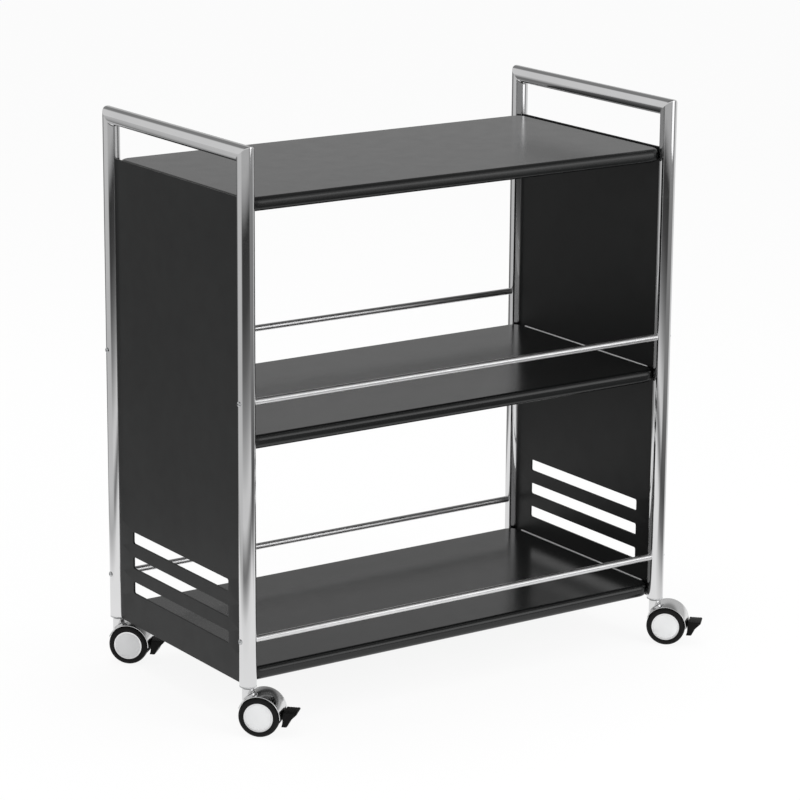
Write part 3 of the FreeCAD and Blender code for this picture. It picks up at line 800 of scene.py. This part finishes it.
pedalLook = {
    "halfWidth": 14,
    "rounding": 0.6,
    "bottom": 15,
    "top": 37,
    # the blade's corners: along, height where it isn't the bottom or the top, rounding
    "foot": (39.5, 3),
    "waist": (45, 26, 5),
    "tip": (54, 35, 0.9),
    "tipTop": (53, 0.9),
    "backTop": (34.3, 0.8),
    "back": (33, 30, 0.2),
    "hollow": (2.6, 25.2, 30.5),  # the arc beside the tyre: centre and radius
    "crest": (51.6, 36.4, 77),    # the grooved top: from, to and points
    "grooves": (38.5, 42, 45.5, 49),
    "grooveWidth": 2.4,
    "grooveDepth": 0.35,
    "arcSteps": 4,
    "hollowSteps": 26,
    "tongueHalfWidth": 3,
    "tongueRounding": 0.3,
    "tongue": ((21.5, 28, 1), (35, 25, 0), (35, 35.4, 0), (28, 35.9, 0.8)),
    "eye": (24, 40, 4),      # round the pin: centre and radius
    "eyeSteps": 18,
}


def atCastor(name):
    # Turns (along, across, height) of a castor into x, y, z.
    low, high = spanOf(name + "_post")
    centre = (low + high) / 2
    angle = math.radians(castorLook["angle"])

    def change(points):
        along, across, height = points.T
        return spots(centre[0] + along * math.cos(angle) - across * math.sin(angle),
                     centre[1] + along * math.sin(angle) + across * math.cos(angle), height)

    return change


def onAxle(surface, side=0):
    # Lays a surface of (u, v, w) on the axle: u along, v up, w across. A side of 1 or -1 turns a
    # wheel's w, counted from its inner face, outwards on that side.
    def change(points):
        u, v, w = points.T
        across = side * (wheelLook["innerFace"] + w) if side else w
        return spots(castorLook["trail"] + u, across, castorLook["axleHeight"] + v)

    return moved(surface, change)


def hoodSurface():
    # A flat strip's section, shrunk at its ends to round them, carried round the axle. At radius
    # p it starts at the height of the hood's rear end, asin(h / p), and stops at the plane in
    # front of the boss, acos(-d / p). Behind, h steps down beside the notch that the pedal moves
    # in: h = skirt + (notch - skirt) times a smooth step across the notch's two edges. Across its
    # width the outer face is crowned, so it drops by crown * (across / half width)^2.
    look = hoodLook
    half = (look["outside"] - look["inside"]) / 2
    length, notch, step = look["length"], look["notchHalfWidth"], look["notchStep"]
    inset, level = edgeRings(look["endRounding"], length, look["hold"], look["arcSteps"], look["rows"])
    inset = np.concatenate([[half], inset, [half]])
    level = np.concatenate([[0], level, [length]])
    inner = look["halfWidth"] - look["edge"]
    reach, count = look["innerLines"]
    lines = notch + np.array([-step, -step / 2, 0, step / 2, step, 3 * step, *look["outerLines"]])
    lines = np.sort(np.concatenate([-lines, np.linspace(-reach, reach, count) * notch, lines]))
    loops = rectangleLoops(look["halfWidth"], half, look["edge"], inset,
                           (lines + inner) / (2 * inner), (), look["arcSteps"])
    across = loops[..., 0]
    drop = look["crown"] * (across / look["halfWidth"]) ** 2
    distance = look["inside"] + (half + loops[..., 1]) * (1 - drop / (2 * half))
    share = np.clip((notch + step - np.abs(across)) / (2 * step), 0, 1)
    above = look["skirtHeight"] + (look["endHeight"] - look["skirtHeight"]) * share * share * (3 - 2 * share)
    first = np.arcsin((above - castorLook["axleHeight"]) / distance)
    last = np.arccos(-(castorLook["trail"] + bossLook["radius"]) / distance)
    angle = first + (last - first) * (level / length)[:, None]
    return surfaceOf(spots(castorLook["trail"] + distance * np.cos(angle), across,
                           castorLook["axleHeight"] + distance * np.sin(angle)))


def webSurfaces():
    # The plate between the wheels: solid round the axle and in front, two cheeks behind.
    look = webLook
    under = hoodLook["endHeight"] - castorLook["axleHeight"]
    arc = hoodLook["outside"] - look["underHood"]
    front = -(castorLook["trail"] + bossLook["radius"]) + look["behindFront"]
    start, boss, corner, steps = (look[key] for key in ("cheekStart", "axleBoss", "corner", "arcSteps"))
    frontAngle = math.degrees(math.acos(front / arc))
    cheekAngle = math.degrees(math.acos(start / arc))
    rear = math.asin((under + look["cheekRise"]) / arc)
    solid = roundOutline(
        arcPoints((0, 0), arc, cheekAngle, frontAngle, steps)
        + [(front, under, look["frontCorner"]), (-boss, under, corner)]
        + arcPoints((0, 0), boss, 180, 360, steps)
        + [(boss, under, corner), (start, under, 0)])
    inside = start - look["lap"]
    cheek = roundOutline(
        arcPoints((0, 0), arc, math.degrees(rear), cheekAngle - 1, look["cheekSteps"])
        + [(inside, under + look["lap"], 0), (inside, under, 0),
           (arc * math.cos(rear) - look["cheekEnd"], under, look["cheekCorner"])])
    wide, slim, rounding = look["halfWidth"], look["cheekInside"], look["rounding"]
    plates = ((solid, -wide, wide), (cheek, slim, wide), (cheek, -wide, -slim))
    return [onAxle(plateSurface(outline, low, high, rounding)) for outline, low, high in plates]


def bossSurface():
    # A drum round the stem whose foot follows the hood: height = axle + sqrt(p^2 - (along - trail)^2).
    # Its fillet fades out to the front, where the hood is cut off.
    look = bossLook
    turn = circle(look["around"])[0]
    radius, top, rim = look["radius"], look["top"], look["rounding"]
    foot = look["foot"] * ((1 + np.cos(turn)) / 2) ** look["footFade"]
    bore = stemLook["pivot"] + look["boreClearance"]
    inside, outside = hoodLook["inside"] + look["sink"], hoodLook["outside"] - look["seat"]
    under = radius - look["inset"]

    def onHood(size, distance):
        along = size * np.cos(turn) - castorLook["trail"]
        return castorLook["axleHeight"] + np.sqrt(distance ** 2 - along ** 2)

    rows = [(bore, top - look["boreDepth"]), (bore, top), (radius - rim - look["hold"], top)]
    swings = quarterArc(look["arcSteps"])
    rows += [(radius - rim * (1 - np.sin(swing)), top - rim * (1 - np.cos(swing))) for swing in swings]
    for swing in swings:
        fillet = radius + foot * (1 - np.cos(swing))
        rows.append((fillet, onHood(fillet, outside) + foot * (1 - np.sin(swing))))
    rows += [(under, onHood(under, inside)), (0, onHood(0, inside))]
    size, level = stackRows(rows, len(turn))
    return surfaceOf(spots(size * np.cos(turn), size * np.sin(turn), level), [np.arange(len(turn))])


def tyreProfile():
    # A closed profile: bore, inner side, two round shoulders with the tread and its mould line
    # between them, outer side with a fine bead next to the hub.
    look = wheelLook
    radius, width, shoulder, hub = look["radius"], look["width"], look["shoulder"], look["hub"]
    swing = quarterArc(look["shoulderSteps"])
    side = radius - shoulder - look["flat"]
    low = spots(radius - shoulder * (1 - np.sin(swing)), shoulder * (1 - np.cos(swing)))
    high = spots(low[::-1, 0], width - low[::-1, 1])
    seam = [(radius - sunk, width / 2 + across) for across, sunk in look["seam"]]
    inside = [(hub, look["bevel"]), (hub + look["bevel"], 0), (side, 0)]
    outside = [(side, width)] + [(hub + out, width - sunk) for out, sunk in look["bead"]]
    return np.concatenate([inside, low, seam, high, outside])


def hubProfile():
    # From the axis over a slightly bulging disc, up the dished rim, down the seat and back
    # along the inner face to the axle's bore.
    look = wheelLook
    face, back = look["width"] - look["hubSetBack"], look["hubSetBack"]
    disc = face - look["recess"]
    hub, inner = look["hub"], look["hub"] - look["rimWidth"]
    floor = disc - look["cover"]
    span = np.linspace(0, 1, look["discRings"])
    bulge = spots(span * (inner - look["discMargin"]), disc + look["crown"] * (1 - span ** 2))
    rim = [(inner + out, disc + up) for out, up in look["rimInner"]]
    rim += [(hub + out, face + up) for out, up in look["rimOuter"]]
    seat = [(hub, back), (look["bore"], back), (look["bore"], floor), (0, floor)]
    return np.concatenate([bulge, rim, seat])


def pedalSurfaces():
    # The blade's side outline with a grooved top, carried across its width, and the tongue that
    # reaches between the wheels to the pin. A groove is (1 + cos(2 pi d / width)) / 2 deep, with
    # d the distance from its middle.
    look = pedalLook
    lift = castorLook["axleHeight"]
    top, bottom = look["top"] - lift, look["bottom"] - lift
    hollowX, hollowZ, hollow = look["hollow"]
    stations = np.linspace(*look["crest"])
    away = np.abs(stations[None, :] - np.array(look["grooves"])[:, None])
    wave = (1 + np.cos(2 * math.pi * away / look["grooveWidth"])) / 2
    groove = np.where(away < look["grooveWidth"] / 2, wave, 0).sum(axis=0)
    crest = spots(stations, top - look["grooveDepth"] * groove, 0).tolist()
    ends = [math.degrees(math.asin((height - hollowZ) / hollow))
            for height in (look["back"][1], look["bottom"])]

    def lowered(corner):
        along, height, rounding = corner
        return along, height - lift, rounding

    footX, footRound = look["foot"]
    tipX, tipRound = look["tipTop"]
    backX, backRound = look["backTop"]
    blade = roundOutline(
        [(footX, bottom, footRound), lowered(look["waist"]), lowered(look["tip"]), (tipX, top, tipRound)]
        + crest + [(backX, top, backRound), lowered(look["back"])]
        + arcPoints((hollowX, hollowZ - lift), hollow, *ends, look["hollowSteps"]))
    eyeX, eyeZ, eye = look["eye"]
    tongue = roundOutline([lowered(corner) for corner in look["tongue"]]
                          + arcPoints((eyeX, eyeZ - lift), eye, 0, 180, look["eyeSteps"]))
    wide, slim = look["halfWidth"], look["tongueHalfWidth"]
    return [onAxle(plateSurface(blade, -wide, wide, look["rounding"], look["arcSteps"])),
            onAxle(plateSurface(tongue, -slim, slim, look["tongueRounding"]))]


def stemProfiles(foot):
    # The stem as one turned solid, and the plug round it as a closed ring.
    look = stemLook
    under = foot - look["lip"]
    swivel = under - look["collarHeight"]
    stem, collar, pivot = look["stem"], look["collar"], look["pivot"]
    bottom, top = look["pivotBottom"], look["stemTop"]
    pivotCut, collarCut, topCut = look["chamfers"]
    solid = [(0, bottom), (pivot - pivotCut, bottom), (pivot, bottom + pivotCut), (pivot, swivel),
             (collar - collarCut, swivel), (collar, swivel + collarCut), (collar, under - collarCut),
             (collar - collarCut, under), (stem, under), (stem, top - topCut), (stem - topCut, top), (0, top)]
    radius, wall = tubeLook["radius"], look["insertWall"]
    corners = ((stem, under), (radius, under), (radius, foot), (wall, foot),
               (wall, look["insertTop"]), (stem, look["insertTop"]))
    rounded = [(*corner, rounding) for corner, rounding in zip(corners, look["insertRoundings"])]
    return solid, roundOutline(rounded, 4)


def brightenRim(piece, name, side):
    # Gives the hub's dished rim its brushed plating, by each face's distance from the axle.
    mesh = piece.data
    mesh.materials.append(finishes["hubChrome"])
    centres = np.zeros(len(mesh.polygons) * 3)
    mesh.polygons.foreach_get("center", centres)
    axle = atCastor(name)(np.array([[castorLook["trail"], 0.0, castorLook["axleHeight"]]]))[0]
    angle = math.radians(castorLook["angle"])
    across = np.array([-math.sin(angle), math.cos(angle), 0])
    away = centres.reshape(-1, 3) * 1000 - axle
    outwards = away @ across * side
    distance = np.linalg.norm(away - (away @ across)[:, None] * across, axis=1)
    disc = wheelLook["innerFace"] + wheelLook["width"] - wheelLook["hubSetBack"] - wheelLook["recess"]
    inwards, below = wheelLook["plating"]
    rim = wheelLook["hub"] - wheelLook["rimWidth"]
    bright = (distance > rim - inwards) & (outwards > disc - below)
    mesh.polygons.foreach_set("material_index", bright.astype(np.int32))


def dressCastor(name):
    place = atCastor(name)
    words = name.split("_")
    label = words[0] + words[1].capitalize()

    def dress(part, surfaces, finish, body, node):
        surfaces = [moved(surface, place) for surface in surfaces]
        return makePiece(label + part, surfaces, finish, body, ["%s_%s" % (name, node)])

    solid, plug = stemProfiles(spanOf(name + "_post")[0][2])
    stem = turnedSurface(solid, stemLook["around"])
    ring = turnedSurface(plug, stemLook["insertAround"], closed=True)
    dress("Stem", [stem], "brightZinc", "frame", "castor_stem")
    dress("Plug", [ring], "lipGrey", "frame", "tube_insert")
    dress("Housing", [hoodSurface(), bossSurface()] + webSurfaces(), "castorChrome",
          name + "_castor", "castor_housing")
    dress("Pedal", pedalSurfaces(), "pedalBlack", name + "_pedal", "brake_pedal")
    for number, side in ((1, -1), (2, 1)):
        body = "%s_wheel_%d" % (name, number)
        tyre = onAxle(turnedSurface(tyreProfile(), wheelLook["around"], closed=True), side)
        dress("Tyre%d" % number, [tyre], "tyreBlack", body, "tyre_%d" % number)
        hub = onAxle(turnedSurface(hubProfile(), wheelLook["around"]), side)
        piece = dress("Hub%d" % number, [hub], "hubGrey", body, "hub_%d" % number)
        brightenRim(piece, name, side)


for name in castorNames:
    dressCastor(name)
print("castors made")


# CAD nodes that stay, with their own finishes

hiddenNodes = ["shelf_studs"]
hiddenNodes += ["%s_%s" % (name, part) for name in castorNames for part in ("castor_axle", "brake_pin")]
for node in hiddenNodes:
    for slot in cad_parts[node].material_slots:
        slot.material = finishes["plainSteel"]
print("hidden fixings finished")


# Studio

studioLook = {
    "fill": 0.72,            # the even light of the room
    "floorHalf": 9.0,        # metres
    "floorLevel": -0.0003,
    "floorLines": 25,
    "floorPaint": 0.90,
    "floorGlow": 0.9,
    "ringReach": 5.0,        # metres covered by the rings
    # how bright the floor is in the metal, as (metres from the object, brightness)
    "behind": ((0.80, 0.80), (1.05, 0.22), (1.7, 0.16), (5.0, 0.16)),
    "left": ((0.80, 0.84), (1.08, 0.46), (1.35, 0.58), (2.4, 0.52), (5.0, 0.56)),
    "ahead": ((0.72, 0.84), (0.90, 0.76), (1.03, 0.42), (1.14, 0.19), (1.22, 0.24), (1.42, 0.66),
              (1.60, 0.64), (1.82, 0.46), (2.1, 0.28), (2.5, 0.14), (3.0, 0.06), (3.9, 0.035),
              (4.3, 0.30), (4.6, 0.44)),
    "right": ((0.50, 0.84), (0.68, 0.66), (0.80, 0.42), (0.95, 0.18), (1.2, 0.09), (1.6, 0.14),
              (2.1, 0.21), (5.0, 0.26)),
    "rightBehind": ((0.80, 0.84), (1.05, 0.66), (5.0, 0.70)),
    # round the object from behind, left, front and right: (from, to) in degrees, then the rings
    "sectors": (((-130, -108), "left"), ((-58, -40), "ahead"), ((36, 54), "right"),
                ((98, 112), "rightBehind"), ((150, 178), "behind")),
    "aheadWay": (-0.5636, -0.8260, 0),  # towards the photo's camera, and to its right
    "asideWay": (0.8260, -0.5636, 0),
    # the room in the metal: brightness, and where one part gives way to the next
    "ceiling": 0.15,
    "ceilingFrom": (0.60, 0.72),
    "wall": 0.5,
    "wallAbove": 0.22,
    "aboveFrom": (0.30, 0.44),
    "leftWall": 0.66,
    "leftFrom": (0.02, 0.22),
    "frontWall": 0.64,
    "frontFrom": (-0.25, 0.25),
}


def smoothMask(tree, source, start, finish):
    return spread(tree, source, start, finish, kind="SMOOTHSTEP")


def seenPlainly(tree, path):
    # 1 for what the camera sees, straight or through something clear
    return combine(tree, "MAXIMUM", path["Is Camera Ray"], path["Is Transmission Ray"])


def ringShade(tree, distance, rings):
    reach = studioLook["ringReach"]
    return ramp(tree, distance, [(metres / reach, (shade,) * 3) for metres, shade in rings])


def buildWorld():
    # White to the camera and an even fill on the object. In the metal the walls are pale and
    # the ceiling is dark.
    look = studioLook
    world = bpy.data.worlds.new("studioWorld")
    bpy.context.scene.world = world
    tree, surface = newTree(world, "ShaderNodeOutputWorld")
    path = tree.nodes.new("ShaderNodeLightPath").outputs
    direction = tree.nodes.new("ShaderNodeTexCoord").outputs["Generated"]
    upwards = dotWith(tree, direction, (0, 0, 1))
    toLeft = dotWith(tree, direction, (-1, 0, 0))
    toFront = dotWith(tree, direction, (0, -1, 0))
    wall = blended(tree, smoothMask(tree, upwards, *look["aboveFrom"]), look["wall"], look["wallAbove"])
    wall = blended(tree, smoothMask(tree, toLeft, *look["leftFrom"]), wall, look["leftWall"])
    wall = blended(tree, smoothMask(tree, toFront, *look["frontFrom"]), wall, look["frontWall"])
    metal = blended(tree, smoothMask(tree, upwards, *look["ceilingFrom"]), wall, look["ceiling"])
    light = blended(tree, path["Is Glossy Ray"], look["fill"], metal)
    strength = blended(tree, seenPlainly(tree, path), light, 1.0)
    background = newNode(tree, "ShaderNodeBackground", {"Color": (1, 1, 1, 1), "Strength": strength})
    tree.links.new(background.outputs["Background"], surface)


def buildFloor():
    # A pale floor that keeps a soft shadow. In the metal it is bright near the object, and its
    # brightness further out goes by rings that differ from side to side.
    look = studioLook
    steps = np.linspace(-look["floorHalf"], look["floorHalf"], look["floorLines"])
    points, quads, _ = surfaceOf(spots(steps[None, :], steps[:, None], look["floorLevel"]), wrapColumns=False)
    mesh = bpy.data.meshes.new("paleFloor")
    mesh.from_pydata(points.tolist(), [], quads.tolist())
    floor = newObject("paleFloor", mesh)
    material = bpy.data.materials.new("paleFloor")
    tree, surface = newTree(material, "ShaderNodeOutputMaterial")
    path = tree.nodes.new("ShaderNodeLightPath").outputs
    place = tree.nodes.new("ShaderNodeTexCoord").outputs["Object"]
    length = newNode(tree, "ShaderNodeVectorMath", {0: place})
    length.operation = "LENGTH"
    distance = spread(tree, length.outputs["Value"], 0.0, look["ringReach"])
    ahead, aside = dotWith(tree, place, look["aheadWay"]), dotWith(tree, place, look["asideWay"])
    azimuth = combine(tree, "ARCTAN2", aside, ahead)
    shade = ringShade(tree, distance, look["behind"])
    for edges, rings in look["sectors"]:
        share = smoothMask(tree, azimuth, *np.radians(edges))
        shade = blended(tree, share, shade, ringShade(tree, distance, look[rings]))
    paint = newNode(tree, "ShaderNodeBsdfDiffuse", {"Color": (look["floorPaint"],) * 3 + (1,)}).outputs[0]
    glow = tree.nodes.new("ShaderNodeEmission").outputs[0]
    metal = newNode(tree, "ShaderNodeEmission", {"Strength": shade}).outputs[0]
    seen = blendedShader(tree, look["floorGlow"], paint, glow)
    lit = blendedShader(tree, seenPlainly(tree, path), paint, seen)
    tree.links.new(blendedShader(tree, path["Is Glossy Ray"], lit, metal), surface)
    mesh.materials.append(material)


lampAim = (0, 0, 0.4)        # metres
lampLook = {
    # name: (place in metres, size in metres, watts, seen in the metal)
    "leftSoftbox": ((-2.4, -2.0, 2.2), 1.6, 12, False),
    "frontSoftbox": ((0.9, -2.7, 1.3), 1.6, 36, False),
    "edgeSoftbox": ((1.5, -2.2, 1.0), 1.4, 6.5, True),
    "topSoftbox": ((0.0, 0.4, 3.2), 2.2, 40, False),
}


def buildLamps():
    # Each lamp points along its own -Z, tilted by a pitch and then turned by a yaw.
    for name, (place, size, watts, seen) in lampLook.items():
        light = bpy.data.lights.new(name, "AREA")
        light.shape = "SQUARE"
        light.size = size
        light.energy = watts
        lamp = newObject(name, light)
        lamp.location = place
        aim = np.array(lampAim) - np.array(place)
        yaw = math.atan2(-aim[0], aim[1])
        pitch = math.acos(-aim[2] / np.linalg.norm(aim))
        lamp.rotation_euler = (pitch, 0, yaw)
        lamp.visible_glossy = seen


cameraLook = {
    "lens": 144.665,
    "azimuth": -34.294,
    "elevation": 14.712,
    "roll": 0.433,
    "distance": 4.8548,      # metres, as are the next two
    "targetAside": 0.01365,  # along the view's right
    "targetHeight": 0.39681,
}


def buildCamera():
    look = cameraLook
    azimuth, elevation, roll = (math.radians(look[key]) for key in ("azimuth", "elevation", "roll"))
    right = np.array([math.cos(azimuth), math.sin(azimuth), 0])
    back = np.array([math.sin(azimuth) * math.cos(elevation), -math.cos(azimuth) * math.cos(elevation),
                     math.sin(elevation)])
    up = np.cross(back, right)
    place = right * look["targetAside"] + [0, 0, look["targetHeight"]] + back * look["distance"]
    matrix = np.eye(4)
    matrix[:3, 0] = right * math.cos(roll) + up * math.sin(roll)
    matrix[:3, 1] = -right * math.sin(roll) + up * math.cos(roll)
    matrix[:3, 2] = back
    matrix[:3, 3] = place
    lens = bpy.data.cameras.new("photoCamera")
    lens.sensor_width = 36
    lens.lens = look["lens"]
    lens.clip_end = 60
    camera = newObject("photoCamera", lens)
    camera.matrix_world = Matrix(matrix.tolist())
    bpy.context.scene.camera = camera


buildWorld()
buildFloor()
buildLamps()
buildCamera()
bpy.context.scene.view_settings.view_transform = "Standard"
print("studio made")
